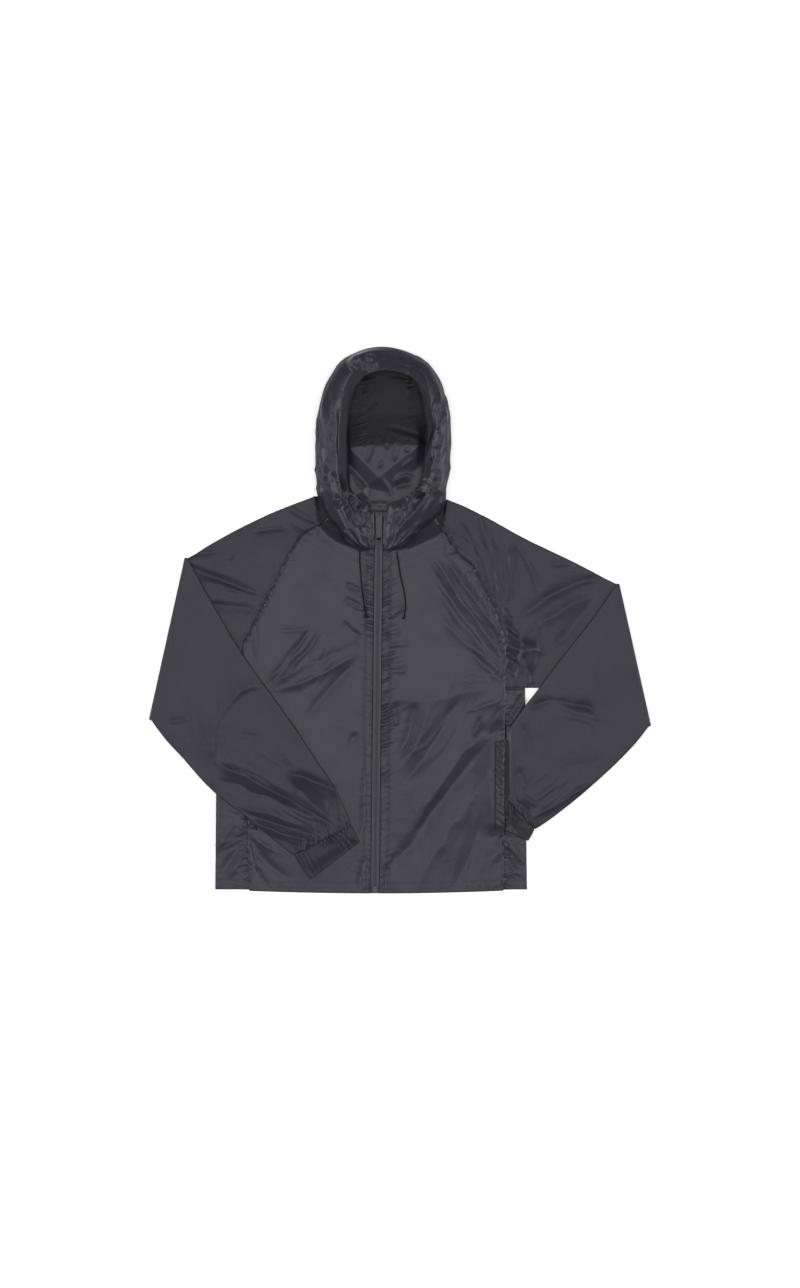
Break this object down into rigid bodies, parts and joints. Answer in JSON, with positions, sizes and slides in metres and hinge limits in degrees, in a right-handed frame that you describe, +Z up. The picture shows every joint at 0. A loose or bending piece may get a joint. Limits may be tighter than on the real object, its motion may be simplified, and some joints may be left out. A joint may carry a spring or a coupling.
{
  "type": "windbreaker jacket",
  "caption": "Hooded raglan windbreaker with a full zip, side welt pockets and elastic cuffs, laid flat on its back with the sleeves folded.",
  "frame": {"origin": "bottom centre of the bounding box, on the surface that the jacket lies on", "axes": "+X towards the wearer's left sleeve, +Y from the hem to the hood, +Z up from the surface through the fronts"},
  "size_m": [0.8926, 0.972, 0.0486],
  "materials": {
    "shell": "dark charcoal nylon taffeta with a soft satin sheen",
    "cuff": "the same nylon, gathered over elastic",
    "zip_tape": "woven polyester tape, dark charcoal",
    "zip_coil": "moulded coil, dark grey",
    "zip_metal": "dark painted die casting",
    "drawcord": "round braided cord, near black"
  },
  "bodies": {
    "jacket": {"back_panel": "shell", "front_right": "shell", "front_left": "shell", "side_panel_right": "shell", "side_panel_left": "shell", "pocket_welt_right": "shell", "pocket_welt_left": "shell", "sleeve_right": "shell", "sleeve_left": "shell", "cuff_right": "cuff", "cuff_left": "cuff", "hood_right": "shell", "hood_left": "shell", "hood_centre": "shell", "chin_guard": "shell", "zip_tape_right": "zip_tape", "zip_tape_left": "zip_tape", "zip_coil": "zip_coil", "zip_stop": "zip_metal", "slider": "zip_metal", "drawcord_right": "drawcord", "drawcord_left": "drawcord", "cord_knot_right": "drawcord", "cord_knot_left": "drawcord"},
    "pull_tab": {"pull_tab": "zip_metal"}
  },
  "joints": [
    {"name": "pull_tab_hinge", "type": "hinge", "parent": "jacket", "child": "pull_tab", "pos_m": [-0.03747, 0.18242, 0.01518], "axis": [-1, 0, 0], "range_deg": [0, 170]}
  ]
}
